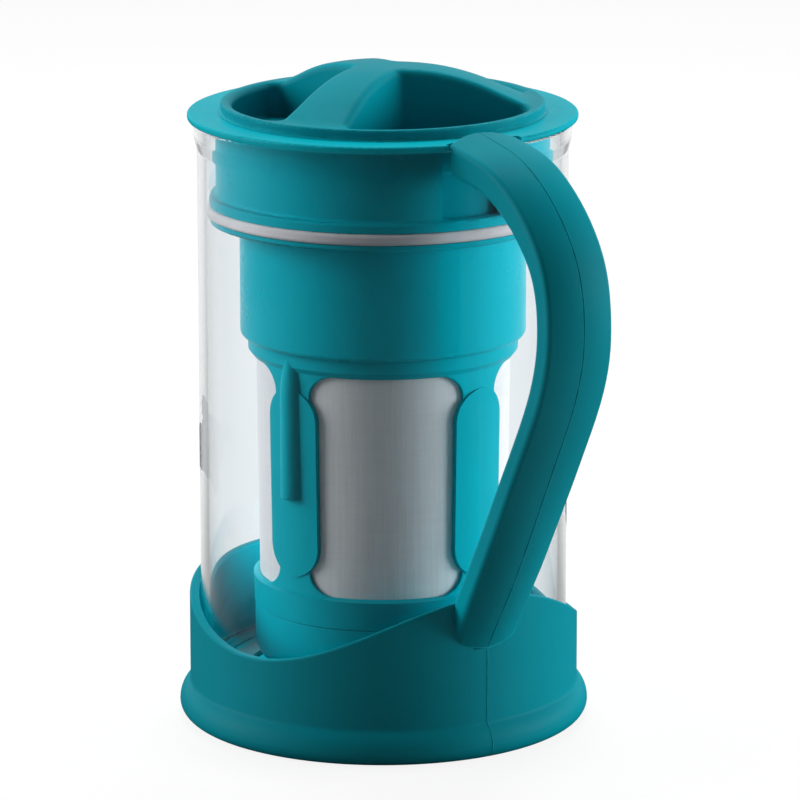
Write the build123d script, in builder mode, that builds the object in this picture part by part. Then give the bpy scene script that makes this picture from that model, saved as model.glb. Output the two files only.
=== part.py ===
"""Cold brew coffee maker: base with handle, glass carafe, brew core and twist lid.

Millimetres, +Z up. The origin is the carafe's axis on the table. The handle points
along +X and the pouring side along -X. The object is even about the XZ plane, apart
from the filter cage, whose windows are turned 30 degrees from the handle.
"""
from math import acos, asin, cos, hypot, radians, sin
import os

from build123d import *

os.makedirs("parts", exist_ok=True)

# Glass carafe
glass_r = 57.0            # outer radius of the straight wall
glass_wall = 2.6
glass_foot_z = 11.0       # underside of the glass
glass_floor = 4.4         # thickness of the glass bottom
glass_top_z = 188.6
glass_lip_r = 58.0        # outer radius of the flared rim
glass_lip_h = 5.0
glass_in_r = glass_r - glass_wall

# Base
base_r = 60.5             # outer radius of the holder's wall
base_wall = 2.9
base_in_r = base_r - base_wall
foot_r = 63.8             # widest point of the rounded foot
foot_wide_z = 4.4         # height of the widest point
foot_top_z = 10.8         # where the foot meets the wall
foot_blend = 1.5          # hollow rounding above the foot
base_edge_r = 60.4
base_edge_z = 0.2         # lower edge of the foot, just clear of the table
floor_z = 10.0            # top of the inner floor
floor_t = 2.6
cover_r = 56.6
cover_z = 1.5
cover_t = 2.0
pad_r = 50.0              # non-slip pad, the face the jug stands on
cushion_r_in = 43.0
cushion_r_out = 50.0
# Height of the rim round the base: its mean and its waves, highest at the handle
rim_waves = (39.6, 0.3, 8.4, 3.8)

# Handle, hollow, in two mirrored halves that meet on the XZ plane
grip_gap = 60.3           # radius of the tip's inner face, clear of the glass
grip_wall = 2.2
grip_corner = 2.4
grip_crease = 1.8         # rounding where the side meets the domed face
root_creases = (2.4, 3.0, 3.2)  # the same at the last stations, by the base
seam_chamfer = 0.2
nose_tip_x = 54.45        # the tip ends in a nose that laps over the glass rim
nose_side_x = 57.2
nose_half_w = 12.3
nose_low_z = 189.0
screw_z = 46.4
screw_y = 4.6
screw_length = 5.4

# Collar
flange_r = 59.9
flange_top_z = 190.8
flange_low_z = glass_top_z + 0.1
notch_gap = 0.5           # air between the handle's nose and the flange's notch
mouth_r = 48.9            # bore of the neck
neck_r = 51.3
lip_r = 53.3
lip_top_z = 166.4
groove_top_z = 163.5
groove_low_z = 159.7
shelf_z = 157.8           # underside of the step between neck and skirt
skirt_rim_h = 1.1         # rim on the skirt's plate that stands up inside the neck
skirt_rim_r = mouth_r - 2.2
skirt_r = 44.1
skirt_in_r = 42.1
skirt_low_z = 121.7
ledge_low_z = 137.4       # inner ledge above the filter cage
ledge_r = 38.6
ledge_t = 2.2
groove_r = 51.6           # bottom of the gasket's groove
gasket_r = 54.1
window_half_deg = 11.5    # pouring windows in the neck
window_low_z = 166.4
window_top_z = 183.8

# Lid
lid_r = 49.7
lid_rest_z = 191.4
lid_rim_z = 194.0
lid_drum_r = 48.5
skirt_bore_r = 46.9
pocket_r = 46.0
pocket_half_deg = 45.5
pocket_tip_r = 9.5        # inner corner of a pocket
pocket_floor_z = 183.4
arm_mid_r = 28.0          # where the arms are narrowest
arm_half_w = 9.3
drum_low_z = 181.4
plug_low_z = 161.4
plug_floor = 2.0
seal_groove_r = 47.1
seal_low_z = 185.4
seal_top_z = 188.6
skirt_window_low_z = 164.9
skirt_window_top_z = 177.4
# Height of the arms' crest from the hub to the rim, as (radius, z)
arm_crest = [(0, 205.0), (12, 204.6), (18, 203.8), (24, 202.4), (29, 200.8), (34, 198.8),
             (38, 197.0), (42, 195.3), (47.2, lid_rim_z)]
arm_rounding = 2.4

# Filter cage, slightly tapered
cage_top_z = 134.4
cage_low_z = 36.9
cage_r = 41.7             # top band
band_low_z = 117.6
rib_r_top = 40.5
rib_r_low = 39.5
ring_r = 40.5             # bottom ring
ring_top_z = 45.7
cage_in_top = 39.4
cage_in_low = 38.5
cage_bore_r = 38.2
rib_angles = (15, 105, 195, 285)
window_angles = (60, 150, 240, 330)
cage_window_w = 45.2
cage_window_z = (46.4, 115.7)
panel_w = 19.2
panel_z = (51.4, 110.4)
panel_rise = 0.5
fin_angle = 285           # only this rib carries the pointed fin
fin_half_w = 4.0
fin_r = 43.2
fin_low_z = 75.9
fin_top_z = 121.4
# The fin's narrowing upper end as (half width, z)
fin_point = [(fin_half_w, 107.5), (3.85, 111.5), (3.5, 114.5), (3.05, 117.0), (2.45, 119.7)]
mesh_r_top = 39.3
mesh_r_low = 38.4
mesh_t = 0.4
mesh_z = (44.2, 120.4)

# Screw cap under the filter
cap_r = 40.0
cap_top_z = 36.6
cap_low_z = 17.4
cap_corner = 8.0
cap_wall = 2.2
spigot_r = 37.9
spigot_top_z = 43.4
cap_groove_r = 36.9
cap_groove_z = (38.3, 41.0)

gap = 0.3                 # air between faces that turn or slide past each other


def save(part, name):
    """Names a finished node and writes its STEP file."""
    part.label = name
    export_step(part, f"parts/{name}.step")


def rim_height(x):
    """Height of the base's rim over a point x along the handle's direction."""
    turn = acos(max(-1.0, min(1.0, x / base_r)))
    return sum(wave * cos(k * turn) for k, wave in enumerate(rim_waves))


def outline(points):
    """Closed flat face through the points."""
    with BuildSketch() as flat:
        with BuildLine():
            Polyline(*points, close=True)
        make_face()
    return flat.sketch


def corner(flat, x, y):
    """The sketch's vertex at x, y."""
    return flat.vertices().filter_by(lambda v: hypot(v.X - x, v.Y - y) < 0.02)


def plain_ring(r_in, r_out, z_low, z_top, rounding=0.0):
    """A square or round-edged ring about the Z axis."""
    with BuildPart() as ring:
        with BuildSketch(Plane.XZ):
            add(outline([(r_in, z_low), (r_out, z_low), (r_out, z_top), (r_in, z_top)]))
            if rounding:
                fillet(vertices(), rounding)
        revolve(axis=Axis.Z)
    return ring.part


# Glass carafe
with BuildPart() as glass_carafe:
    with BuildSketch(Plane.XZ):
        add(outline([
            (0, glass_foot_z + 1.2), (40, glass_foot_z + 1.2), (43, glass_foot_z),
            (glass_r, glass_foot_z), (glass_r, glass_top_z - glass_lip_h - 4),
            (glass_lip_r, glass_top_z - glass_lip_h), (glass_lip_r, glass_top_z),
            (glass_in_r, glass_top_z), (glass_in_r, glass_foot_z + glass_floor),
            (0, glass_foot_z + glass_floor),
        ]))
        outer_foot = vertices().filter_by(lambda v: abs(v.X - glass_r) < 0.01 and v.Y < 20)
        fillet(outer_foot, 4.0)
        inner_foot = vertices().filter_by(lambda v: abs(v.X - glass_in_r) < 0.01 and v.Y < 20)
        fillet(inner_foot, 4.5)
        rim = vertices().filter_by(lambda v: abs(v.Y - glass_top_z) < 0.01)
        fillet(rim, 0.9)
        flare = vertices().filter_by(lambda v: v.X > glass_r - 0.01 and 170 < v.Y < glass_top_z - 1)
        fillet(flare, 3.0)
    revolve(axis=Axis.Z)
save(glass_carafe.part, "glass_carafe")

# Base shell: rounded foot, wall with a flowing rim, floor and underside ribs
with BuildPart() as base_shell:
    with BuildSketch(Plane.XZ):
        flare = foot_r - base_r
        rise = foot_top_z - foot_wide_z
        bulge = (flare**2 + rise**2) / (2 * flare)
        half_turn = asin(rise / bulge) / 2
        with BuildLine():
            Line((cover_r + 0.3, base_edge_z), (base_edge_r, base_edge_z))
            ThreePointArc((base_edge_r, base_edge_z), (foot_r - 0.9, base_edge_z + 1.55),
                          (foot_r, foot_wide_z))
            ThreePointArc((foot_r, foot_wide_z),
                          (foot_r - bulge * (1 - cos(half_turn)), foot_wide_z + bulge * sin(half_turn)),
                          (base_r, foot_top_z))
            Polyline((base_r, foot_top_z), (base_r, 58), (base_in_r, 58), (base_in_r, floor_z),
                     (0, floor_z), (0, floor_z - floor_t), (cover_r + 0.3, floor_z - floor_t),
                     (cover_r + 0.3, base_edge_z))
        make_face()
        fillet(vertices().filter_by(lambda v: hypot(v.X - base_r, v.Y - foot_top_z) < 0.02), foot_blend)
        floor_corner = vertices().filter_by(lambda v: abs(v.X - base_in_r) < 0.01 and v.Y < 20)
        fillet(floor_corner, 3.0)
    revolve(axis=Axis.Z)
    # Ribs under the floor that the cover rests on
    for rib_r in (22.0, 40.0):
        with BuildSketch(Plane.XY.offset(cover_z + cover_t)):
            Circle(rib_r + 0.8)
            Circle(rib_r - 0.8, mode=Mode.SUBTRACT)
        extrude(until=Until.NEXT)
    with BuildSketch(Plane.XY.offset(cover_z + cover_t)):
        with PolarLocations(0, 6):
            with Locations((39.5, 0)):
                Rectangle(34.6, 1.6)
    extrude(amount=floor_z - floor_t - cover_z - cover_t)
    # The flowing rim is one cut along Y through both walls
    steps = [x * 6.05 for x in range(-10, 11)]
    with BuildSketch(Plane.XZ):
        with BuildLine():
            Spline(*[(x, rim_height(x)) for x in steps])
            Polyline((steps[-1], rim_height(steps[-1])), (70, rim_height(steps[-1])), (70, 70),
                     (-70, 70), (-70, rim_height(steps[0])), (steps[0], rim_height(steps[0])))
        make_face()
    extrude(amount=70, both=True, mode=Mode.SUBTRACT)
    rim_edges = edges().filter_by(lambda e: e.center().Z > 26 and e.length > 100)
    fillet(rim_edges, 0.7)
    # Countersunk holes for the two handle screws
    for side in (-1, 1):
        with Locations(Location((base_in_r, side * screw_y, screw_z), (0, 90, 0))):
            Cylinder(1.6, 8, align=(Align.CENTER, Align.CENTER, Align.MIN), mode=Mode.SUBTRACT)
            Cone(3.0, 1.6, 1.7, align=(Align.CENTER, Align.CENTER, Align.MIN), mode=Mode.SUBTRACT)
            Cylinder(3.0, 3, align=(Align.CENTER, Align.CENTER, Align.MAX), mode=Mode.SUBTRACT)
save(base_shell.part, "base_shell")

# Snap-in cover under the base
with BuildPart() as base_cover:
    with BuildSketch(Plane.XZ):
        add(outline([
            (0, cover_z), (pad_r, cover_z), (pad_r, cover_z - 0.5), (cover_r, cover_z - 0.5),
            (cover_r, cover_z + cover_t), (0, cover_z + cover_t),
        ]))
    revolve(axis=Axis.Z)
save(base_cover.part, "base_cover")

# Non-slip pad glued under the cover
with BuildPart() as foot_pad:
    Cylinder(pad_r - 0.4, cover_z, align=(Align.CENTER, Align.CENTER, Align.MIN))
    fillet(edges().group_by(Axis.Z)[0], 0.5)
save(foot_pad.part, "foot_pad")

# Soft ring that the glass stands on
with BuildPart() as glass_cushion:
    add(plain_ring(cushion_r_in, cushion_r_out, floor_z, glass_foot_z, 0.3))
save(glass_cushion.part, "glass_cushion")

# Handle: stations down its outer centre line as (x, z, width, thickness, rise of the domed face)
grip_stations = [
    (46.0, 192.6, 24.3, 11.7, 2.3), (56.0, 192.8, 24.5, 11.6, 2.2), (66.0, 191.2, 24.4, 11.2, 2.0),
    (78.1, 188.4, 23.7, 10.9, 1.8), (90.1, 182.2, 23.1, 10.6, 1.7), (101.2, 172.7, 22.8, 10.2, 1.7),
    (108.9, 161.4, 22.6, 9.8, 1.9), (112.3, 146.4, 22.6, 9.6, 2.1), (111.7, 134.4, 22.9, 9.3, 2.0),
    (107.5, 120.4, 23.2, 8.9, 1.9), (99.6, 104.4, 23.5, 8.7, 2.1), (91.3, 88.7, 23.5, 9.1, 2.4),
    (83.1, 73.0, 23.2, 9.7, 3.0), (76.1, 60.2, 23.0, 10.1, 3.3), (69.3, 49.0, 22.5, 10.3, 3.1),
    (60.8, 35.2, 21.9, 10.7, 2.6), (53.3, 23.0, 21.0, 11.1, 2.1),
]


def grip_section(plane, width, thick, rise, round_in, crease):
    """Half of the grip's section: flat inside, straight side, domed outer face."""
    half = width / 2
    side = thick - rise
    dome_r = (half**2 + rise**2) / (2 * rise)
    mid = half / 2
    mid_h = thick - (dome_r - (dome_r**2 - mid**2) ** 0.5)
    with BuildSketch(plane) as half_section:
        with BuildLine():
            Polyline((seam_chamfer, thick), (0, thick - seam_chamfer), (0, 0), (half - round_in, 0))
            RadiusArc((half - round_in, 0), (half, round_in), -round_in)
            Line((half, round_in), (half, side))
            ThreePointArc((half, side), (mid, mid_h), (seam_chamfer, thick))
        make_face()
        fillet(corner(half_section, half, side), crease)
    return half_section.sketch


def grip_body(inset, first, last):
    """Half of the grip, lofted through the stations; inset shrinks it for the hollow."""
    with BuildLine(Plane.XZ) as spine:
        Spline(*[(s[0], s[1]) for s in grip_stations])
    curve = spine.edges()[0]
    creases = [grip_crease] * (len(grip_stations) - len(root_creases)) + list(root_creases)
    sections = []
    for (x, z, width, thick, rise), crease in list(zip(grip_stations, creases))[first:last]:
        at = curve.param_at_point(Vector(x, 0, z))
        along = curve.tangent_at(at)
        outward = Vector(-along.Z, 0, along.X)
        if outward.X + outward.Z < 0:
            outward = -outward
        foot = Vector(x, 0, z) - outward * (thick - inset)
        plane = Plane(origin=foot, x_dir=(0, -1, 0), z_dir=along)
        flip = plane.y_dir.dot(outward) < 0
        if flip:
            plane = Plane(origin=foot, x_dir=(0, -1, 0), z_dir=-along)
        sections.append(grip_section(plane, width - 2 * inset, thick - 2 * inset,
                                     rise * (1 - inset / 8), grip_corner - inset * 0.6,
                                     crease - inset * 0.6))
    return loft(sections)


def nose_plan():
    """Outline of the handle's nose from above, with a rounded end towards the axis."""
    with BuildSketch() as plan:
        with BuildLine():
            ThreePointArc((nose_side_x, nose_half_w), (nose_tip_x, 0), (nose_side_x, -nose_half_w))
            Polyline((nose_side_x, -nose_half_w), (70, -nose_half_w), (70, nose_half_w),
                     (nose_side_x, nose_half_w))
        make_face()
    return plan.sketch


with BuildPart() as handle_near:
    add(grip_body(0, 0, len(grip_stations)))
    add(grip_body(grip_wall, 2, len(grip_stations) - 4), mode=Mode.SUBTRACT)
    # The tip is cut to stand outside the glass, with a rounded nose above the flange's notch
    with BuildSketch(Plane.XY.offset(120)):
        Circle(grip_gap)
    extrude(amount=nose_low_z - 120, mode=Mode.SUBTRACT)
    with BuildSketch(Plane.XY.offset(nose_low_z - 1)):
        Rectangle(2 * grip_gap, 2 * nose_half_w + 4)
        add(nose_plan(), mode=Mode.SUBTRACT)
    extrude(amount=10, mode=Mode.SUBTRACT)
    nose_edge = edges().filter_by(lambda e: e.center().Z > nose_low_z + 1.9 and e.center().X < 57
                                  and e.center().Y < -1)
    fillet(nose_edge, 1.0)
    # The root is cut to the base's wall
    with BuildSketch(Plane.XY):
        Circle(base_r + 0.02)
    extrude(amount=90, mode=Mode.SUBTRACT)
    with Locations(Location((base_r - 1, -screw_y, screw_z), (0, 90, 0))):
        Cylinder(1.55, screw_length - 1.5, align=(Align.CENTER, Align.CENTER, Align.MIN),
                 mode=Mode.SUBTRACT)
save(handle_near.part, "handle_near")

with BuildPart() as handle_far:
    mirror(handle_near.part, about=Plane.XZ)
save(handle_far.part, "handle_far")

# Two screws from inside the base, one into each half of the handle
with BuildPart() as handle_screws:
    for side in (-1, 1):
        with Locations(Location((base_in_r + 0.1, side * screw_y, screw_z), (0, 90, 0))):
            Cone(2.8, 1.5, 1.6, align=(Align.CENTER, Align.CENTER, Align.MIN))
            Cylinder(1.5, screw_length, align=(Align.CENTER, Align.CENTER, Align.MIN))
            Box(3.2, 0.7, 1.2, mode=Mode.SUBTRACT)
            Box(0.7, 3.2, 1.2, mode=Mode.SUBTRACT)
save(handle_screws.part, "handle_screws")


# Collar: flange on the glass rim, neck with two pouring windows, and the gasket's upper lip
notch_plan = offset(nose_plan(), notch_gap)
with BuildPart() as collar:
    with BuildSketch(Plane.XZ) as wall:
        add(outline([
            (mouth_r, lid_rest_z), (mouth_r + 0.6, lid_rest_z), (mouth_r + 1.1, flange_top_z),
            (flange_r, flange_top_z), (flange_r, flange_low_z), (neck_r, flange_low_z),
            (neck_r, lip_top_z), (lip_r, lip_top_z), (lip_r, groove_top_z),
            (groove_r, groove_top_z), (groove_r, groove_low_z), (mouth_r, groove_low_z),
        ]))
        fillet(corner(wall, flange_r, flange_top_z) + corner(wall, flange_r, flange_low_z), 0.8)
        fillet(corner(wall, neck_r, lip_top_z), 1.0)
        fillet(corner(wall, lip_r, lip_top_z), 1.0)
    revolve(axis=Axis.Z)
    # The windows are at the handle and opposite it
    with BuildSketch(Plane.YZ):
        with Locations((0, (window_low_z + window_top_z) / 2)):
            RectangleRounded(2 * neck_r * sin(radians(window_half_deg)), window_top_z - window_low_z, 1.0)
    extrude(amount=neck_r + 2, both=True, mode=Mode.SUBTRACT)
    # Notch in the flange for the handle's nose
    with BuildSketch(Plane.XY.offset(flange_low_z)):
        add(notch_plan)
    extrude(amount=8, mode=Mode.SUBTRACT)
save(collar.part, "collar")

# Skirt that snaps under the neck, traps the gasket and holds the filter cage
with BuildPart() as core_skirt:
    with BuildSketch(Plane.XZ) as wall:
        add(outline([
            (lip_r - 0.2, groove_low_z), (lip_r - 0.2, shelf_z), (skirt_r, shelf_z),
            (skirt_r, skirt_low_z), (skirt_in_r, skirt_low_z), (skirt_in_r, ledge_low_z),
            (ledge_r, ledge_low_z), (ledge_r, ledge_low_z + ledge_t),
            (skirt_in_r, ledge_low_z + ledge_t), (skirt_in_r, groove_low_z),
            (skirt_rim_r, groove_low_z), (skirt_rim_r, groove_low_z + skirt_rim_h),
            (mouth_r - 0.02, groove_low_z + skirt_rim_h), (mouth_r - 0.02, groove_low_z),
        ]))
        fillet(corner(wall, lip_r - 0.2, shelf_z), 0.8)
        fillet(corner(wall, skirt_r, shelf_z), 0.8)
        fillet(corner(wall, skirt_r, skirt_low_z), 1.8)
    revolve(axis=Axis.Z)
save(core_skirt.part, "core_skirt")

# Silicone gasket in the groove, a soft rounded band
with BuildPart() as collar_gasket:
    with BuildSketch(Plane.XZ) as band:
        add(outline([
            (groove_r + 0.05, groove_low_z + 0.1), (gasket_r, groove_low_z + 0.1),
            (gasket_r, groove_top_z - 0.1), (groove_r + 0.05, groove_top_z - 0.1),
        ]))
        fillet(corner(band, gasket_r, groove_low_z + 0.1) + corner(band, gasket_r, groove_top_z - 0.1), 1.3)
    revolve(axis=Axis.Z)
save(collar_gasket.part, "collar_gasket")


def pocket_plan():
    """Finger pocket between two arms of the lid, drawn on +X."""
    end_x, end_y = pocket_r * cos(radians(pocket_half_deg)), pocket_r * sin(radians(pocket_half_deg))
    arm = radians(60)
    side_x = arm_mid_r * cos(arm) + arm_half_w * sin(arm)
    side_y = arm_mid_r * sin(arm) - arm_half_w * cos(arm)
    with BuildSketch() as plan:
        with BuildLine():
            ThreePointArc((pocket_tip_r, 0), (side_x, side_y), (end_x, end_y))
            ThreePointArc((end_x, end_y), (pocket_r, 0), (end_x, -end_y))
            ThreePointArc((end_x, -end_y), (side_x, -side_y), (pocket_tip_r, 0))
        make_face()
        fillet(corner(plan, end_x, end_y) + corner(plan, end_x, -end_y), 3.5)
        fillet(corner(plan, pocket_tip_r, 0), 2.5)
    return plan.sketch


def lid_dome(drop):
    """The lid's flowing top from hub to rim, lowered by drop, as one solid of revolution."""
    with BuildPart() as dome:
        with BuildSketch(Plane.XZ):
            with BuildLine():
                Spline(*[(r, z - drop) for r, z in arm_crest], tangents=[(1, 0), (1, 0)])
                last_r, last_z = arm_crest[-1]
                Polyline((last_r, last_z - drop), (last_r, drum_low_z), (0, drum_low_z),
                         (0, arm_crest[0][1] - drop))
            make_face()
        revolve(axis=Axis.Z)
    return dome.part


# Lid: disc with three arms between finger pockets, and the turning skirt
with BuildPart() as lid_grip:
    with BuildSketch(Plane.XZ) as disc:
        add(outline([
            (0, drum_low_z), (lid_drum_r, drum_low_z), (lid_drum_r, seal_low_z),
            (seal_groove_r, seal_low_z), (seal_groove_r, seal_top_z), (lid_drum_r, seal_top_z),
            (lid_drum_r, lid_rest_z), (lid_r, lid_rest_z), (lid_r, lid_rim_z), (0, lid_rim_z),
        ]))
        fillet(corner(disc, lid_r, lid_rim_z), 0.7)
    revolve(axis=Axis.Z)
    add(lid_dome(0))
    with BuildSketch(Plane.XY.offset(pocket_floor_z)):
        with PolarLocations(0, 3):
            add(pocket_plan())
    extrude(amount=30, mode=Mode.SUBTRACT)
    pocket_edges = edges().filter_by(lambda e: e.center().Z > lid_rim_z - 0.05
                                     and hypot(e.center().X, e.center().Y) < pocket_r + 0.1)
    fillet(pocket_edges, arm_rounding)
    floor_edges = edges().filter_by_position(Axis.Z, pocket_floor_z - 0.01, pocket_floor_z + 0.01)
    fillet(floor_edges, 1.5)
pocket_walls = offset(pocket_plan(), 2.2)
with BuildPart() as lid_hollow:
    with BuildSketch(Plane.XY.offset(drum_low_z)):
        Circle(pocket_r - 2.2)
        with PolarLocations(0, 3):
            add(pocket_walls, mode=Mode.SUBTRACT)
    extrude(amount=30)
    add(lid_dome(3.0), mode=Mode.INTERSECT)
with lid_grip:
    add(lid_hollow.part, mode=Mode.SUBTRACT)
save(lid_grip.part, "lid_grip")

# Cup welded under the lid: it closes the hollow arms and its skirt turns in the neck
with BuildPart() as lid_plug:
    with BuildSketch(Plane.XZ):
        add(outline([
            (0, drum_low_z), (lid_drum_r, drum_low_z), (lid_drum_r, plug_low_z), (skirt_bore_r, plug_low_z),
            (skirt_bore_r, drum_low_z - plug_floor), (0, drum_low_z - plug_floor),
        ]))
    revolve(axis=Axis.Z)
    # Two windows in the skirt; they face the neck's windows after a quarter turn
    with BuildSketch(Plane.XZ):
        with Locations((0, (skirt_window_low_z + skirt_window_top_z) / 2)):
            RectangleRounded(20.0, skirt_window_top_z - skirt_window_low_z, 1.0)
    extrude(amount=lid_drum_r + 2, both=True, mode=Mode.SUBTRACT)
save(lid_plug.part, "lid_plug")

# Seal ring round the lid's drum
with BuildPart() as lid_seal:
    add(plain_ring(seal_groove_r + gap, mouth_r - gap, seal_low_z + gap, seal_top_z - gap, 0.4))
save(lid_seal.part, "lid_seal")


def facing(angle, distance):
    """Upright plane at a distance from the axis, facing outward at an angle."""
    turn = radians(angle)
    out = Vector(cos(turn), sin(turn), 0)
    return Plane(origin=out * distance, x_dir=(-sin(turn), cos(turn), 0), z_dir=out)


def is_window_rim(at):
    """True for a point on the outer rim of one of the cage's windows."""
    middle = (cage_in_top + rib_r_top) / 2
    return cage_window_z[0] - 0.1 < at.Z < cage_window_z[1] + 0.1 and hypot(at.X, at.Y) > middle - 0.5


# Filter cage: top band, four ribs with raised panels, bottom ring
with BuildPart() as cage_panels:
    for angle in rib_angles:
        with BuildSketch(facing(angle, 30)):
            with Locations((0, (panel_z[0] + panel_z[1]) / 2)):
                SlotOverall(panel_z[1] - panel_z[0], panel_w, rotation=90)
        extrude(amount=20)
    with BuildSketch(Plane.XZ):
        add(outline([
            (cage_in_low + 0.1, panel_z[0] - 1), (rib_r_low + panel_rise, panel_z[0] - 1),
            (rib_r_top + panel_rise, panel_z[1] + 1), (cage_in_top + 0.1, panel_z[1] + 1),
        ]))
    revolve(axis=Axis.Z, mode=Mode.INTERSECT)
# The fin is half of a bullet shape, cut off at the cage's inner face
with BuildPart() as bullet:
    with BuildSketch(Plane.XZ):
        with BuildLine():
            Spline(*fin_point, tangents=[(0, 1), (-0.4, 1)])
            Polyline(fin_point[-1], (0, fin_top_z), (0, fin_low_z), (fin_half_w - 0.8, fin_low_z))
            RadiusArc((fin_half_w - 0.8, fin_low_z), (fin_half_w, fin_low_z + 0.8), -0.8)
            Line((fin_half_w, fin_low_z + 0.8), fin_point[0])
        make_face()
    revolve(axis=Axis.Z)
fin_place = facing(fin_angle, fin_r - fin_half_w).origin
with BuildPart() as fin:
    with Locations(Location(fin_place)):
        add(bullet.part)
    with BuildSketch(Plane.XY.offset(fin_low_z - 1)):
        Circle(cage_in_top + 0.1)
    extrude(amount=fin_top_z - fin_low_z + 2, mode=Mode.SUBTRACT)

with BuildPart() as filter_cage:
    with BuildSketch(Plane.XZ) as wall:
        add(outline([
            (cage_bore_r, cage_low_z), (ring_r - 0.3, cage_low_z), (ring_r, ring_top_z),
            (rib_r_low, ring_top_z + 0.5), (rib_r_top, band_low_z - 1.6), (cage_r, band_low_z),
            (cage_r, cage_top_z), (cage_in_top, cage_top_z), (cage_in_top, mesh_z[1]),
            (cage_in_low, mesh_z[0] - 0.2), (cage_bore_r, mesh_z[0] - 0.2),
        ]))
    revolve(axis=Axis.Z)
    for angle in window_angles:
        with BuildSketch(facing(angle, 20)):
            with Locations((0, (cage_window_z[0] + cage_window_z[1]) / 2)):
                RectangleRounded(cage_window_w, cage_window_z[1] - cage_window_z[0], 7.0)
        extrude(amount=30, mode=Mode.SUBTRACT)
    window_rims = edges().filter_by(lambda e: is_window_rim(e @ 0.5))
    fillet(window_rims, 0.5)
    add(cage_panels.part)
    add(fin.part)
save(filter_cage.part, "filter_cage")

# Fine steel mesh sleeve inside the cage, and its two folded hems
with BuildPart() as filter_mesh:
    with BuildSketch(Plane.XZ):
        add(outline([
            (mesh_r_low - mesh_t, mesh_z[0]), (mesh_r_low, mesh_z[0]), (mesh_r_top, mesh_z[1]),
            (mesh_r_top - mesh_t, mesh_z[1]),
        ]))
    revolve(axis=Axis.Z)
save(filter_mesh.part, "filter_mesh")

with BuildPart() as mesh_hem_low:
    add(plain_ring(mesh_r_low - 1.3, mesh_r_low - mesh_t - 0.02, mesh_z[0], mesh_z[0] + 3))
save(mesh_hem_low.part, "mesh_hem_low")

with BuildPart() as mesh_hem_top:
    add(plain_ring(mesh_r_top - 1.4, mesh_r_top - mesh_t - 0.06, mesh_z[1] - 3, mesh_z[1]))
save(mesh_hem_top.part, "mesh_hem_top")

# Seal between the cage's top and the collar's ledge
with BuildPart() as cage_seal:
    add(plain_ring(cage_in_top + 0.2, cage_r - 0.1, cage_top_z, ledge_low_z - gap, 0.4))
save(cage_seal.part, "cage_seal")

# Screw cap that closes the filter
with BuildPart() as bottom_cap:
    with BuildSketch(Plane.XZ) as cup:
        add(outline([
            (0, cap_low_z), (cap_r, cap_low_z), (cap_r, cap_top_z), (spigot_r, cap_top_z),
            (spigot_r, cap_groove_z[0]), (cap_groove_r, cap_groove_z[0]), (cap_groove_r, cap_groove_z[1]),
            (spigot_r, cap_groove_z[1]), (spigot_r, spigot_top_z), (spigot_r - 2.0, spigot_top_z),
            (spigot_r - 2.0, cap_low_z + cap_wall), (0, cap_low_z + cap_wall),
        ]))
        fillet(corner(cup, cap_r, cap_low_z), cap_corner)
        fillet(corner(cup, spigot_r - 2.0, cap_low_z + cap_wall), cap_corner - cap_wall)
        fillet(corner(cup, cap_r, cap_top_z), 0.3)
    revolve(axis=Axis.Z)
save(bottom_cap.part, "bottom_cap")

with BuildPart() as cap_seal:
    add(plain_ring(cap_groove_r + 0.05, cage_bore_r - gap, cap_groove_z[0] + 0.2,
                   cap_groove_z[1] - 0.2, 0.25))
save(cap_seal.part, "cap_seal")
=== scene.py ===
from math import pi, radians

import bpy
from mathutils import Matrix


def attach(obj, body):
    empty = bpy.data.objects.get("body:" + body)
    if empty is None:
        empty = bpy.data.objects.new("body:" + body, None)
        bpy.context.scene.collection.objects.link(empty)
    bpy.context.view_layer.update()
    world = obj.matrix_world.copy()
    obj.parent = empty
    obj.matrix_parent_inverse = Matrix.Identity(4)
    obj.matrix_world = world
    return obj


# Cold brew coffee maker: glass jug in a teal base with a handle, brew core and
# three-armed twist lid. The jug's axis is Z, the table is z = 0 and the handle
# points along +X. Lengths are metres.

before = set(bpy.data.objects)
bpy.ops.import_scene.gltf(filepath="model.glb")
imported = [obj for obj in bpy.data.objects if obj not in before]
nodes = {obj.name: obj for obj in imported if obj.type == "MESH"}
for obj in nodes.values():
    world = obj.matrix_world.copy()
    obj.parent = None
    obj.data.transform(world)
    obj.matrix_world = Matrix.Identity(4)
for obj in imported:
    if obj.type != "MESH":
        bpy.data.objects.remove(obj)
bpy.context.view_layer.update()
print("frame loaded:", len(nodes), "nodes")


# Camera

cameraView = {
    "place": (1.4034, -0.8566, 0.5003),
    "turnDegrees": (76.302, 0.0524, 58.407),
    "lens": 245.76,
    "sensor": 36.0,
    "nearest": 0.05,
}

cameraData = bpy.data.cameras.new("camera")
cameraData.lens = cameraView["lens"]
cameraData.sensor_width = cameraView["sensor"]
cameraData.clip_start = cameraView["nearest"]
camera = bpy.data.objects.new("camera", cameraData)
camera.location = cameraView["place"]
camera.rotation_euler = [radians(turn) for turn in cameraView["turnDegrees"]]
bpy.context.scene.collection.objects.link(camera)
bpy.context.scene.camera = camera
bpy.context.scene.view_settings.view_transform = "Standard"
print("camera placed")


# Small helpers for node trees

def addNode(tree, kind, **settings):
    node = tree.nodes.new("ShaderNode" + kind)
    for key, value in settings.items():
        setattr(node, key, value)
    return node


def feed(tree, socket, value):
    # a number or colour is typed in, another node's output is linked
    if isinstance(value, bpy.types.NodeSocket):
        tree.links.new(value, socket)
    else:
        socket.default_value = value


def calc(tree, operation, *values, clamp=False):
    node = addNode(tree, "Math", operation=operation, use_clamp=clamp)
    for socket, value in zip(node.inputs, values):
        feed(tree, socket, value)
    return node.outputs[0]


def times(tree, first, *others):
    for other in others:
        first = calc(tree, "MULTIPLY", first, other)
    return first


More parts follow.
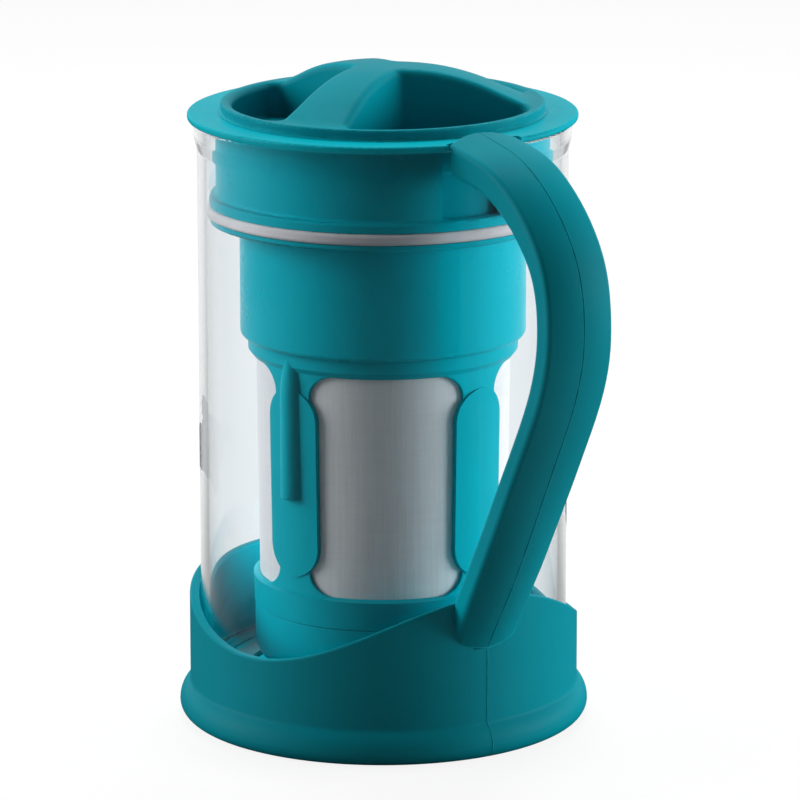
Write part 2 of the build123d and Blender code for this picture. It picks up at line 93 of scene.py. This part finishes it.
def plus(tree, first, second, clamp=False):
    return calc(tree, "ADD", first, second, clamp=clamp)


def remap(tree, value, fromLow, fromHigh, toLow=0.0, toHigh=1.0, smooth=True):
    node = addNode(tree, "MapRange", clamp=True,
                   interpolation_type="SMOOTHSTEP" if smooth else "LINEAR")
    for label, number in (("Value", value), ("From Min", fromLow), ("From Max", fromHigh),
                          ("To Min", toLow), ("To Max", toHigh)):
        feed(tree, node.inputs[label], number)
    return node.outputs["Result"]


def blendColour(tree, factor, first, second, mode="MIX"):
    node = addNode(tree, "Mix", data_type="RGBA", blend_type=mode)
    for index, value in ((0, factor), (6, first), (7, second)):
        feed(tree, node.inputs[index], value)
    return node.outputs[2]


def blendNumber(tree, factor, first, second):
    node = addNode(tree, "Mix", data_type="FLOAT")
    for index, value in ((0, factor), (2, first), (3, second)):
        feed(tree, node.inputs[index], value)
    return node.outputs[0]


def onObject(tree):
    return addNode(tree, "TexCoord").outputs["Object"]


def splitAxes(tree, vector):
    node = addNode(tree, "SeparateXYZ")
    feed(tree, node.inputs[0], vector)
    return node.outputs


def joinAxes(tree, east, north):
    node = addNode(tree, "CombineXYZ")
    feed(tree, node.inputs["X"], east)
    feed(tree, node.inputs["Y"], north)
    return node.outputs[0]


def dotProduct(tree, first, second):
    node = addNode(tree, "VectorMath", operation="DOT_PRODUCT")
    feed(tree, node.inputs[0], first)
    feed(tree, node.inputs[1], second)
    return node.outputs["Value"]


def noise(tree, vector, scale, detail=2.0, roughness=0.5):
    node = addNode(tree, "TexNoise")
    for label, value in (("Vector", vector), ("Scale", scale), ("Detail", detail),
                         ("Roughness", roughness)):
        feed(tree, node.inputs[label], value)
    return node.outputs["Fac"]


def stretched(tree, vector, scale, turn=(0.0, 0.0, 0.0)):
    node = addNode(tree, "Mapping")
    for label, value in (("Vector", vector), ("Scale", scale), ("Rotation", turn)):
        feed(tree, node.inputs[label], value)
    return node.outputs["Vector"]


def newGroup(name, inputs, outputs):
    group = bpy.data.node_groups.new(name, "ShaderNodeTree")
    sockets = [(label, "INPUT") for label in inputs] + [(label, "OUTPUT") for label in outputs]
    for label, way in sockets:
        socket = group.interface.new_socket(name=label, in_out=way,
                                            socket_type="NodeSocketFloat")
        if way == "INPUT":
            socket.default_value = inputs[label]
    into = group.nodes.new("NodeGroupInput").outputs
    out = group.nodes.new("NodeGroupOutput").inputs
    return group, into, out


def useGroup(tree, group, **values):
    node = tree.nodes.new("ShaderNodeGroup")
    node.node_tree = group
    for label, value in values.items():
        node.inputs[label].default_value = value
    return node.outputs


# Effects that several finishes share. A scale counts to the metre, and a range is where
# a pattern starts to show and where it shows fully.

grainLook = {
    "grain": 2200.0,           # scale of the fine bumps
    "drift": 16.0,             # scale of the changes of tone
    "coarser": 0.23,           # the coarse bumps' scale, beside the fine ones
    "fineShare": 0.7, "coarseShare": 0.3,
    "cloudier": 5.0,           # the gloss changes' scale, beside the tone's
    "toneRange": (0.25, 0.75), "glossRange": (0.3, 0.7),
}


def makeMouldGrain():
    # the fine spark finish of a moulding, with slow drifts of tone and gloss
    look = grainLook
    group, into, out = newGroup("mouldGrain", {"Grain": look["grain"], "Drift": look["drift"]},
                                ("Height", "Tone", "Gloss"))
    place = onObject(group)
    fine = noise(group, place, into["Grain"], detail=3.0, roughness=0.6)
    coarse = noise(group, place, times(group, into["Grain"], look["coarser"]))
    height = plus(group, times(group, fine, look["fineShare"]),
                  times(group, coarse, look["coarseShare"]))
    drift = noise(group, place, into["Drift"], detail=4.0, roughness=0.55)
    cloud = noise(group, place, times(group, into["Drift"], look["cloudier"]), detail=3.0)
    feed(group, out["Height"], height)
    feed(group, out["Tone"], remap(group, drift, *look["toneRange"]))
    feed(group, out["Gloss"], remap(group, cloud, *look["glossRange"]))
    return group


scuffLook = {
    "amount": 0.5,
    "turns": ((0.4, 0.2, 0.9), (1.3, 0.7, 2.1), (2.2, 1.6, 0.3)),
    "hair": (2400.0, 26.0, 30.0),      # thin one way and long the others
    "hairRange": (0.72, 0.78),
    "patchScale": 34.0, "patchRange": (0.52, 0.66),
}


def makeScuffs():
    # hair-thin handling marks in three directions, gathered in patches
    look = scuffLook
    group, into, out = newGroup("scuffs", {"Amount": look["amount"]}, ("Mask",))
    place = onObject(group)
    marks = []
    for turn in look["turns"]:
        lines = noise(group, stretched(group, place, look["hair"], turn), 1.0, detail=1.0)
        marks.append(remap(group, lines, *look["hairRange"]))
    allMarks = marks[0]
    for mark in marks[1:]:
        allMarks = calc(group, "MAXIMUM", allMarks, mark)
    patches = noise(group, place, look["patchScale"], detail=3.0)
    patch = remap(group, patches, *look["patchRange"])
    feed(group, out["Mask"], times(group, allMarks, patch, into["Amount"]))
    return group


edgeLook = {
    "radius": 0.0006,
    "samples": 4,
    "edgeRange": (0.99, 0.86),         # how well the rounded normal and the true one agree
    "brokenScale": 160.0, "brokenRange": (0.35, 0.7),
}


def makeEdgeWearAndHighlight():
    # corners that hands and cloths wear, lightened also as a painted highlight along every
    # edge:
    # where a rounded normal leaves the true one
    look = edgeLook
    group, into, out = newGroup("edgeWearAndHighlight", {"Radius": look["radius"]}, ("Mask",))
    rounded = addNode(group, "Bevel", samples=look["samples"])
    feed(group, rounded.inputs["Radius"], into["Radius"])
    true = addNode(group, "NewGeometry").outputs["Normal"]
    match = dotProduct(group, rounded.outputs["Normal"], true)
    edgeMask = remap(group, match, *look["edgeRange"])
    broken = remap(group, noise(group, onObject(group), look["brokenScale"], detail=3.0),
                   *look["brokenRange"])
    feed(group, out["Mask"], times(group, edgeMask, broken))
    return group


dustLook = {
    "amount": 0.5,
    "upRange": (0.55, 0.98),           # how far the surface faces up
    "speckScale": 900.0, "speckRange": (0.6, 0.74), "speckShare": 0.45,
    "filmScale": 46.0, "filmRange": (0.42, 0.75), "filmShare": 0.55,
}


def makeDust():
    # a little dust on what faces up
    look = dustLook
    group, into, out = newGroup("dust", {"Amount": look["amount"]}, ("Mask",))
    place = onObject(group)
    normal = addNode(group, "NewGeometry").outputs["Normal"]
    upward = remap(group, splitAxes(group, normal)["Z"], *look["upRange"])
    specks = remap(group, noise(group, place, look["speckScale"]), *look["speckRange"])
    film = remap(group, noise(group, place, look["filmScale"], detail=4.0), *look["filmRange"])
    both = plus(group, times(group, film, look["filmShare"]),
                times(group, specks, look["speckShare"]))
    feed(group, out["Mask"], times(group, both, upward, into["Amount"]))
    return group


mouldGrain = makeMouldGrain()
scuffs = makeScuffs()
edgeWearAndHighlight = makeEdgeWearAndHighlight()
dust = makeDust()
print("shared effects made")


def newFinish(name):
    material = bpy.data.materials.new(name)
    material.use_nodes = True
    return material, material.node_tree, material.node_tree.nodes["Principled BSDF"]


def addBump(tree, shader, height, strength, distance):
    node = addNode(tree, "Bump")
    for label, value in (("Height", height), ("Strength", strength), ("Distance", distance)):
        feed(tree, node.inputs[label], value)
    feed(tree, shader.inputs["Normal"], node.outputs["Normal"])


def mixToSurface(tree, factor, first, second):
    # two shaders, mixed straight into the material's output
    node = addNode(tree, "MixShader")
    for socket, value in zip(node.inputs, (factor, first, second)):
        feed(tree, socket, value)
    feed(tree, tree.nodes["Material Output"].inputs["Surface"], node.outputs[0])


# Moulded plastic

plasticFinishes = {
    # the base and handle have the plastic's own colour; the brew core's mouldings below are
    # painted paler, as painted light
    "tealSatin": {
        "body": (0.0, 0.262, 0.325, 1.0), "deep": (0.0, 0.235, 0.29, 1.0),
        "rubbedAndLit": (0.02, 0.5, 0.6, 1.0), "dusted": (0.3, 0.38, 0.4, 1.0),
        "grain": 2300.0, "bump": 0.08, "gloss": (0.36, 0.43),
        "edgeRadius": 0.0007, "rubAndHighlight": 0.65, "scuff": 0.06, "dust": 0.04,
        # painted light: the faces round the glass and under it are painted paler, standing in
        # for
        # light that reaches them too little: nearer to the jug's axis than the reach and lower
        # than the top, each from nothing to fully
        "inner": (0.0, 0.47, 0.56, 1.0),
        "innerReach": (0.0580, 0.0577), "innerTop": (0.078, 0.074),
    },
    # painted light: the brew core's mouldings, mostly inside the glass, are painted paler than
    # the base, standing in for light the glass keeps from them
    "tealSmoothLit": {
        "body": (0.0, 0.42, 0.51, 1.0), "deep": (0.0, 0.385, 0.465, 1.0),
        "rubbedAndLit": (0.01, 0.49, 0.58, 1.0), "dusted": (0.35, 0.45, 0.47, 1.0),
        "grain": 2900.0, "bump": 0.04, "gloss": (0.27, 0.33),
        "edgeRadius": 0.0005, "rubAndHighlight": 0.30, "scuff": 0.04, "dust": 0.04,
    },
    # the twist lid, which hands have dulled a little; its strongly lightened edges are painted
    # highlight
    "tealLid": {
        "body": (0.0, 0.27, 0.335, 1.0), "deep": (0.0, 0.245, 0.30, 1.0),
        "rubbedAndLit": (0.02, 0.5, 0.6, 1.0), "dusted": (0.33, 0.42, 0.44, 1.0),
        "grain": 2500.0, "bump": 0.056, "gloss": (0.28, 0.35),
        "edgeRadius": 0.0011, "rubAndHighlight": 0.85, "scuff": 0.05, "dust": 0.04,
    },
    # painted light: the cage and bottom cap inside the jug are painted paler too, for the same
    # light
    "tealInsideLit": {
        "body": (0.0, 0.40, 0.485, 1.0), "deep": (0.0, 0.365, 0.44, 1.0),
        "rubbedAndLit": (0.01, 0.46, 0.55, 1.0), "dusted": (0.35, 0.45, 0.47, 1.0),
        "grain": 2600.0, "bump": 0.048, "gloss": (0.33, 0.4),
        "edgeRadius": 0.0005, "rubAndHighlight": 0.22, "scuff": 0.02, "dust": 0.01,
    },
}

# what the moulded plastics have in common
plasticLook = {
    "drift": 16.0,
    "scuffTone": 0.4, "scuffRoughness": 0.12, "dustRoughness": 0.5,
    "bumpDistance": 0.00005,
    "ior": 1.46, "specular": 0.2,
}


def innerMask(tree, reach, top):
    # one inside the given distance from the jug's axis and below the given height
    axes = splitAxes(tree, onObject(tree))
    east, north = (times(tree, axes[axis], axes[axis]) for axis in "XY")
    away = calc(tree, "SQRT", plus(tree, east, north))
    return times(tree, remap(tree, away, *reach), remap(tree, axes["Z"], *top))


def mouldedPlastic(name, finish):
    look = plasticLook
    material, tree, shader = newFinish(name)
    grain = useGroup(tree, mouldGrain, Grain=finish["grain"], Drift=look["drift"])
    marks = useGroup(tree, scuffs, Amount=finish["scuff"])["Mask"]
    rubAndHighlight = useGroup(tree, edgeWearAndHighlight, Radius=finish["edgeRadius"])["Mask"]
    film = useGroup(tree, dust, Amount=finish["dust"])["Mask"]
    colour = blendColour(tree, grain["Tone"], finish["deep"], finish["body"])
    # painted light on the base's faces round and under the glass
    if "inner" in finish:
        inner = innerMask(tree, finish["innerReach"], finish["innerTop"])
        colour = blendColour(tree, inner, colour, finish["inner"])
    # edges lightened: a painted highlight along them, partly wear
    colour = blendColour(tree, times(tree, rubAndHighlight, finish["rubAndHighlight"]), colour, finish["rubbedAndLit"])
    colour = blendColour(tree, times(tree, marks, look["scuffTone"]), colour, finish["rubbedAndLit"])
    colour = blendColour(tree, film, colour, finish["dusted"])
    feed(tree, shader.inputs["Base Color"], colour)
    rough = remap(tree, grain["Gloss"], 0.0, 1.0, *finish["gloss"], smooth=False)
    rough = plus(tree, rough, times(tree, marks, look["scuffRoughness"]))
    rough = plus(tree, rough, times(tree, film, look["dustRoughness"]), clamp=True)
    feed(tree, shader.inputs["Roughness"], rough)
    addBump(tree, shader, grain["Height"], finish["bump"], look["bumpDistance"])
    shader.inputs["IOR"].default_value = look["ior"]
    shader.inputs["Specular IOR Level"].default_value = look["specular"]
    return material


finishes = {name: mouldedPlastic(name, finish) for name, finish in plasticFinishes.items()}


# Clear glass

glassLook = {
    "tint": (0.955, 0.985, 1.0, 1.0), "filmTint": (0.945, 0.978, 0.995, 1.0),
    "filmScale": 22.0, "filmRange": (0.45, 0.8), "filmRoughness": 0.008,
    "scuff": 0.35, "scuffRoughness": 0.05,
    "ior": 1.474,
    "waveScale": 30.0, "waveStretch": (1.0, 1.0, 0.35),
    "bump": 0.004, "bumpDistance": 0.0003,
    # over one: it stands in for the light that the bent rays would bring to the parts inside
    "lampTint": (1.22, 1.23, 1.24, 1.0),
}


def clearGlass():
    look = glassLook
    material, tree, shader = newFinish("clearGlass")
    shader.inputs["Transmission Weight"].default_value = 1.0
    shader.inputs["IOR"].default_value = look["ior"]
    place = onObject(tree)
    film = remap(tree, noise(tree, place, look["filmScale"], detail=4.0), *look["filmRange"])
    marks = useGroup(tree, scuffs, Amount=look["scuff"])["Mask"]
    feed(tree, shader.inputs["Base Color"],
         blendColour(tree, film, look["tint"], look["filmTint"]))
    rough = plus(tree, times(tree, film, look["filmRoughness"]),
                 times(tree, marks, look["scuffRoughness"]))
    feed(tree, shader.inputs["Roughness"], rough)
    # drawn glass is never quite even: slow waves round the wall
    wave = noise(tree, stretched(tree, place, look["waveStretch"]), look["waveScale"],
                 detail=1.0)
    addBump(tree, shader, wave, look["bump"], look["bumpDistance"])
    # lamps shine through to the parts inside
    through = addNode(tree, "BsdfTransparent")
    through.inputs["Color"].default_value = look["lampTint"]
    shadow = addNode(tree, "LightPath").outputs["Is Shadow Ray"]
    mixToSurface(tree, shadow, shader.outputs[0], through.outputs[0])
    return material


finishes["clearGlass"] = clearGlass()


# Silicone seals and the rubber pad

rubberFinishes = {
    # painted light: the seals' pale grey is raised nearly to white, standing in for light the
    # glass keeps from them
    "paleSilicone": {
        "body": (0.78, 0.745, 0.755, 1.0), "deep": (0.66, 0.625, 0.64, 1.0),
        "gloss": (0.34, 0.46), "grain": 1500.0, "bump": 0.12, "dust": 0.15, "soft": 0.12,
    },
    # painted shade: the glass cushion's silicone, darkened and tinted teal where it sits deep
    # in the base under the glass
    "paintedShadeSilicone": {
        "body": (0.09, 0.2, 0.22, 1.0), "deep": (0.07, 0.165, 0.18, 1.0),
        "gloss": (0.36, 0.48), "grain": 1500.0, "bump": 0.12, "dust": 0.1, "soft": 0.1,
    },
    "darkRubber": {
        "body": (0.035, 0.037, 0.04, 1.0), "deep": (0.022, 0.024, 0.026, 1.0),
        "gloss": (0.6, 0.75), "grain": 900.0, "bump": 0.48, "dust": 0.4, "soft": 0.0,
    },
}

# what the silicones and the rubber have in common
rubberLook = {
    "drift": 60.0,
    "dusted": (0.5, 0.5, 0.5, 1.0),
    "scuff": 0.3, "scuffRoughness": 0.1,
    "bumpDistance": 0.00008,
    "softRadius": (0.002, 0.0018, 0.0018), "softScale": 1.0,
}


def softRubber(name, finish):
    look = rubberLook
    material, tree, shader = newFinish(name)
    grain = useGroup(tree, mouldGrain, Grain=finish["grain"], Drift=look["drift"])
    film = useGroup(tree, dust, Amount=finish["dust"])["Mask"]
    marks = useGroup(tree, scuffs, Amount=look["scuff"])["Mask"]
    colour = blendColour(tree, grain["Tone"], finish["deep"], finish["body"])
    feed(tree, shader.inputs["Base Color"], blendColour(tree, film, colour, look["dusted"]))
    rough = remap(tree, grain["Gloss"], 0.0, 1.0, *finish["gloss"], smooth=False)
    rough = plus(tree, rough, times(tree, marks, look["scuffRoughness"]))
    feed(tree, shader.inputs["Roughness"], rough)
    addBump(tree, shader, grain["Height"], finish["bump"], look["bumpDistance"])
    if finish["soft"]:
        shader.inputs["Subsurface Weight"].default_value = finish["soft"]
        shader.inputs["Subsurface Radius"].default_value = look["softRadius"]
        shader.inputs["Subsurface Scale"].default_value = look["softScale"]
    return material


for name, finish in rubberFinishes.items():
    finishes[name] = softRubber(name, finish)


# Steel: the woven filter mesh, and the turned screws and hems

meshLook = {
    "pitch": 0.00042,                  # from wire to wire
    "meanRadius": 0.0391,
    "wire": (0.94, 0.935, 0.94, 1.0), "gap": (0.76, 0.755, 0.77, 1.0),
    "wireRange": (0.35, 0.8),
    "wobble": 0.00018, "wobbleScale": 90.0,
    # streaks run up the mesh and levels run round it, both nearly even along their length
    "streakScale": 900.0, "streakRun": 0.03, "streakShare": 0.65,
    "levelScale": 1100.0, "levelRun": 0.05, "levelShare": 0.35,
    "shadeRange": (0.3, 0.7),
    "dimmed": (0.9, 0.89, 0.9, 1.0), "plain": (1.0, 1.0, 1.0, 1.0),
    "metallic": 0.2, "gloss": (0.5, 0.38),
    "crossing": 0.3,                   # how far a wire rises where it passes over another
    "bump": 0.35, "bumpDistance": 0.00006,
}


def wovenSteel():
    look = meshLook
    material, tree, shader = newFinish("wovenSteel")
    place = onObject(tree)
    axes = splitAxes(tree, place)
    around = times(tree, calc(tree, "ARCTAN2", axes["Y"], axes["X"]), look["meanRadius"])
    wires = pi / look["pitch"]
    # a wobble of the wires keeps the cloth from looking drawn
    sway = calc(tree, "SUBTRACT", noise(tree, place, look["wobbleScale"]), 0.5)
    wobble = times(tree, sway, look["wobble"])
    across, upright = (
        calc(tree, "SINE", times(tree, plus(tree, along, wobble), wires))
        for along in (around, axes["Z"]))
    height = calc(tree, "MAXIMUM", calc(tree, "ABSOLUTE", across),
                  calc(tree, "ABSOLUTE", upright))
    wire = remap(tree, height, *look["wireRange"])
    # wires that lie a little closer or wider, up the mesh and round it
    streakPlace = joinAxes(tree, around, times(tree, axes["Z"], look["streakRun"]))
    streak = noise(tree, streakPlace, look["streakScale"], detail=3.0, roughness=0.7)
    levelPlace = joinAxes(tree, times(tree, around, look["levelRun"]), axes["Z"])
    level = noise(tree, levelPlace, look["levelScale"], detail=3.0, roughness=0.7)
    shade = remap(tree, plus(tree, times(tree, streak, look["streakShare"]),
                             times(tree, level, look["levelShare"])), *look["shadeRange"])
    colour = blendColour(tree, wire, look["gap"], look["wire"])
    dimmed = blendColour(tree, shade, look["dimmed"], look["plain"])
    feed(tree, shader.inputs["Base Color"], blendColour(tree, 1.0, colour, dimmed, "MULTIPLY"))
    shader.inputs["Metallic"].default_value = look["metallic"]
    feed(tree, shader.inputs["Roughness"],
         remap(tree, shade, 0.0, 1.0, *look["gloss"], smooth=False))
    lift = plus(tree, height, times(tree, times(tree, across, upright), look["crossing"]))
    addBump(tree, shader, lift, look["bump"], look["bumpDistance"])
    return material


turnedLook = {
    "rings": (3000.0, 60.0, 60.0),     # fine along the axis and long round it
    "ringRange": (0.3, 0.7),
    "low": (0.52, 0.53, 0.54, 1.0), "high": (0.66, 0.67, 0.68, 1.0),
    "scuff": 0.6, "scuffed": (0.8, 0.8, 0.8, 1.0),
    "metallic": 1.0,
    "glossRange": (0.2, 0.8), "gloss": (0.24, 0.38),
    "bump": 0.15, "bumpDistance": 0.00004,
}


def turnedSteel():
    look = turnedLook
    material, tree, shader = newFinish("turnedSteel")
    rings = noise(tree, stretched(tree, onObject(tree), look["rings"]), 1.0, detail=3.0)
    marks = useGroup(tree, scuffs, Amount=look["scuff"])["Mask"]
    colour = blendColour(tree, remap(tree, rings, *look["ringRange"]),
                         look["low"], look["high"])
    feed(tree, shader.inputs["Base Color"], blendColour(tree, marks, colour, look["scuffed"]))
    shader.inputs["Metallic"].default_value = look["metallic"]
    feed(tree, shader.inputs["Roughness"],
         remap(tree, rings, *look["glossRange"], *look["gloss"]))
    addBump(tree, shader, rings, look["bump"], look["bumpDistance"])
    return material


finishes["wovenSteel"] = wovenSteel()
finishes["turnedSteel"] = turnedSteel()
print("finishes made:", ", ".join(finishes))


# Which carried-over nodes each finish goes on

finishNodes = {
    "tealSatin": ("base_shell", "base_cover", "handle_near", "handle_far"),
    "tealSmoothLit": ("collar", "core_skirt"),
    "tealLid": ("lid_grip", "lid_plug"),
    "tealInsideLit": ("filter_cage", "bottom_cap"),
    "clearGlass": ("glass_carafe",),
    "paleSilicone": ("collar_gasket", "lid_seal", "cage_seal", "cap_seal"),
    "paintedShadeSilicone": ("glass_cushion",),
    "darkRubber": ("foot_pad",),
    "wovenSteel": ("filter_mesh",),
    "turnedSteel": ("mesh_hem_low", "mesh_hem_top", "handle_screws"),
}

for finishName, nodeNames in finishNodes.items():
    for nodeName in nodeNames:
        mesh = nodes[nodeName].data
        mesh.materials.clear()
        mesh.materials.append(finishes[finishName])
print("nodes dressed")


# Mould line down the base under the handle, and the fine bead round the handle's root.
# Both are thin wires that lie half in the base's skin.

mouldLine = {
    "radius": 0.00016,
    "sides": 10,
    "turnDegrees": (0, 0, 0),          # it starts downwards
    # down the wall, and round the foot
    "path": (
        (0.06046, 0.0, 0.03420), (0.06046, 0.0, 0.01130), (0.06057, 0.0, 0.01090),
        (0.06100, 0.0, 0.01034), (0.06170, 0.0, 0.00968), (0.06247, 0.0, 0.00867),
        (0.06302, 0.0, 0.00768), (0.06342, 0.0, 0.00662), (0.06367, 0.0, 0.00552),
        (0.06375, 0.0, 0.00440), (0.06363, 0.0, 0.00338), (0.06336, 0.0, 0.00260),
        (0.06280, 0.0, 0.00173), (0.06222, 0.0, 0.00115),
    ),
    "finish": "tealSatin",
}

rootBead = {
    "radius": 0.00026,
    "sides": 10,
    "turnDegrees": (90, 0, 0),         # it starts sideways
    # under the root, and up its far side
    "path": (
        (0.06035, -0.0044, 0.0350), (0.06047, 0.0, 0.0348), (0.06037, 0.0031, 0.0353),
        (0.06022, 0.0057, 0.0360), (0.0599, 0.0085, 0.0370), (0.0597, 0.0099, 0.0379),
        (0.0596, 0.0106, 0.0395),
    ),
    # the brew core's paler finish paints a highlight along the bead
    "finish": "tealSmoothLit",
}


def drawnBead(name, bead):
    # a small round wire drawn along the path, step by step
    bpy.ops.object.select_all(action="DESELECT")
    path = bead["path"]
    bpy.ops.mesh.primitive_circle_add(
        vertices=bead["sides"], radius=bead["radius"], fill_type="NGON", location=path[0],
        rotation=[radians(turn) for turn in bead["turnDegrees"]])
    piece = bpy.context.object
    piece.name = name
    bpy.ops.object.mode_set(mode="EDIT")
    bpy.ops.mesh.select_all(action="SELECT")
    for before, after in zip(path, path[1:]):
        step = [b - a for a, b in zip(before, after)]
        bpy.ops.mesh.extrude_region_move(TRANSFORM_OT_translate={"value": step})
    bpy.ops.mesh.select_all(action="SELECT")
    bpy.ops.mesh.normals_make_consistent(inside=False)
    bpy.ops.object.mode_set(mode="OBJECT")
    bpy.ops.object.transform_apply(location=True, rotation=True, scale=True)
    bpy.ops.object.shade_smooth()
    piece.data.materials.append(finishes[bead["finish"]])
    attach(piece, "base")


drawnBead("mouldLine", mouldLine)
drawnBead("rootBead", rootBead)
print("mould line and root bead drawn")


# Studio: light from the sides, dim in front and behind, and three soft boxes

studio = {
    "towardsCamera": (0.8536, -0.5210, 0.0),
    # light round the room as (place, level): 0 is the camera's side, 0.5 the sides, 1 the back
    "soft": (
        (0.0, 0.02), (0.2, 0.06), (0.36, 0.36), (0.5, 0.92), (0.6, 0.92), (0.74, 0.25),
        (1.0, 0.08),
    ),
    "shiny": (
        (0.0, 0.004), (0.2, 0.006), (0.36, 0.10), (0.5, 0.22), (0.65, 0.24), (0.85, 0.26),
        (1.0, 0.26),
    ),
    "mirrored": (
        (0.0, 0.004), (0.2, 0.01), (0.36, 0.06), (0.5, 0.12), (0.7, 0.2), (0.87, 0.4),
        (0.95, 1.0), (1.0, 1.0),
    ),
    # levels of the ceiling, and the slopes at which it starts and is full
    "softTop": 0.03, "shinyTop": 0.15, "mirroredTop": 0.6,
    "topRange": (0.3, 0.75),
    "softStrength": 1.95,
    "boxes": (
        # place, size, watts: on the left, on the right, and overhead behind
        ((-0.74, -0.94, 0.5), (0.9, 0.9), 11.5),
        ((0.45, 1.10, 0.2), (0.9, 0.36), 15.0),
        ((-0.62, 0.38, 1.2), (0.9, 0.9), 20.0),
    ),
    "aimHeight": 0.1,
}


def roomRamp(tree, facing, stops):
    # facing runs from 1, towards the camera, to -1 at the back of the room
    place = calc(tree, "MULTIPLY_ADD", facing, -0.5, 0.5, clamp=True)
    ramp = addNode(tree, "ValToRGB")
    ramp.color_ramp.interpolation = "B_SPLINE"
    while len(ramp.color_ramp.elements) < len(stops):
        ramp.color_ramp.elements.new(1.0)
    for element, (position, level) in zip(ramp.color_ramp.elements, stops):
        element.position = position
        element.color = (level, level, level, 1.0)
    feed(tree, ramp.inputs[0], place)
    return ramp.outputs["Color"]


def hasSome(tree, depth):
    return calc(tree, "GREATER_THAN", depth, 0.5)


def hasNone(tree, depth):
    return calc(tree, "LESS_THAN", depth, 0.5)


def seenDirectly(tree, path):
    # the camera looks at it, straight or through the glass
    seen = calc(tree, "MAXIMUM", path["Is Camera Ray"], path["Is Transmission Ray"])
    bounced = plus(tree, path["Diffuse Depth"], path["Glossy Depth"])
    return times(tree, seen, hasNone(tree, bounced))


def onlyMirrored(tree, path):
    # it is seen in something glossy, and no soft bounce lies between
    return times(tree, hasSome(tree, path["Glossy Depth"]),
                 hasNone(tree, path["Diffuse Depth"]))


def mirroredInGlass(tree, path):
    # glass mirrors what is round it more brightly than the plastics do,
    # within its wall or sharply off its face
    within = hasSome(tree, path["Transmission Depth"])
    return calc(tree, "MAXIMUM", path["Is Singular Ray"], within)


def makeWorld():
    world = bpy.data.worlds.new("studio")
    bpy.context.scene.world = world
    world.use_nodes = True
    tree = world.node_tree
    background = tree.nodes["Background"]
    looking = addNode(tree, "TexCoord").outputs["Generated"]
    slope = splitAxes(tree, looking)["Z"]
    towards = dotProduct(tree, looking, studio["towardsCamera"])
    # the ray's length along the floor, never quite nothing
    flat = calc(tree, "SUBTRACT", 1.0, times(tree, slope, slope))
    flat = calc(tree, "SQRT", calc(tree, "MAXIMUM", flat, 0.01))
    facing = calc(tree, "DIVIDE", towards, flat)
    high = remap(tree, slope, *studio["topRange"])
    soft, shiny, mirrored = (
        blendNumber(tree, high, roomRamp(tree, facing, studio[kind]), studio[kind + "Top"])
        for kind in ("soft", "shiny", "mirrored"))
    soft = times(tree, soft, studio["softStrength"])
    path = addNode(tree, "LightPath").outputs
    shiny = blendNumber(tree, mirroredInGlass(tree, path), shiny, mirrored)
    level = blendNumber(tree, onlyMirrored(tree, path), soft, shiny)
    # what the camera sees of the room is plain white
    feed(tree, background.inputs["Strength"],
         blendNumber(tree, seenDirectly(tree, path), level, 1.0))
    background.inputs["Color"].default_value = (1.0, 1.0, 1.0, 1.0)


def makeBoxes():
    # they light the object and don't show in it
    for number, (place, size, watts) in enumerate(studio["boxes"]):
        lamp = bpy.data.lights.new("softBox%d" % number, "AREA")
        lamp.shape = "RECTANGLE"
        lamp.size, lamp.size_y = size
        lamp.energy = watts
        holder = bpy.data.objects.new(lamp.name, lamp)
        holder.location = place
        holder.visible_glossy = False
        holder.visible_transmission = False
        bpy.context.scene.collection.objects.link(holder)
        aim = holder.location.copy()
        aim.z -= studio["aimHeight"]
        holder.rotation_euler = aim.to_track_quat("Z", "Y").to_euler()


paperFloor = {
    "size": 8.0, "height": -0.0002,
    "paper": ((0.86, 0.86, 0.86, 1.0), (0.9, 0.9, 0.9, 1.0)), "mottleScale": 260.0,
    # its colour for soft and for mirrored light: dim, so that it throws no pale veil on
    # the plastics
    "soft": (0.3, 0.3, 0.3, 1.0), "shiny": (0.02, 0.02, 0.02, 1.0),
    "roughness": 0.9, "specular": 0.1,
    "glow": 0.88,                      # share of its own light where the camera sees it
}


def makeFloor():
    look = paperFloor
    bpy.ops.object.select_all(action="DESELECT")
    bpy.ops.mesh.primitive_plane_add(size=look["size"], location=(0, 0, look["height"]))
    floor = bpy.context.object
    floor.name = "floor"
    material, tree, shader = newFinish("palePaper")
    place = onObject(tree)
    mottle = noise(tree, place, look["mottleScale"], detail=3.0)
    paper = blendColour(tree, mottle, *look["paper"])
    path = addNode(tree, "LightPath").outputs
    seen = seenDirectly(tree, path)
    mirrored = onlyMirrored(tree, path)
    dim = blendColour(tree, mirrored, look["soft"], look["shiny"])
    feed(tree, shader.inputs["Base Color"], blendColour(tree, seen, dim, paper))
    shader.inputs["Roughness"].default_value = look["roughness"]
    shader.inputs["Specular IOR Level"].default_value = look["specular"]
    # painted reflection: where the glass mirrors it, the floor glows, brighter the further
    # behind the jug it lies, so the edges of the glass throw back a bright floor behind the
    # jug
    reach = addNode(tree, "VectorMath", operation="LENGTH")
    feed(tree, reach.inputs[0], place)
    away = calc(tree, "MAXIMUM", reach.outputs["Value"], 0.01)
    facing = calc(tree, "DIVIDE", dotProduct(tree, place, studio["towardsCamera"]), away)
    behind = roomRamp(tree, facing, studio["mirrored"])
    inGlass = times(tree, mirroredInGlass(tree, path), mirrored)
    lit = calc(tree, "MAXIMUM", times(tree, seen, look["glow"]), times(tree, inGlass, behind))
    glow = addNode(tree, "Emission")
    glow.inputs["Color"].default_value = (1.0, 1.0, 1.0, 1.0)
    mixToSurface(tree, lit, shader.outputs[0], glow.outputs[0])
    # its glow is for what is seen, and isn't sampled as a lamp
    material.cycles.emission_sampling = "NONE"
    floor.data.materials.append(material)


makeWorld()
makeBoxes()
makeFloor()
print("studio lit")
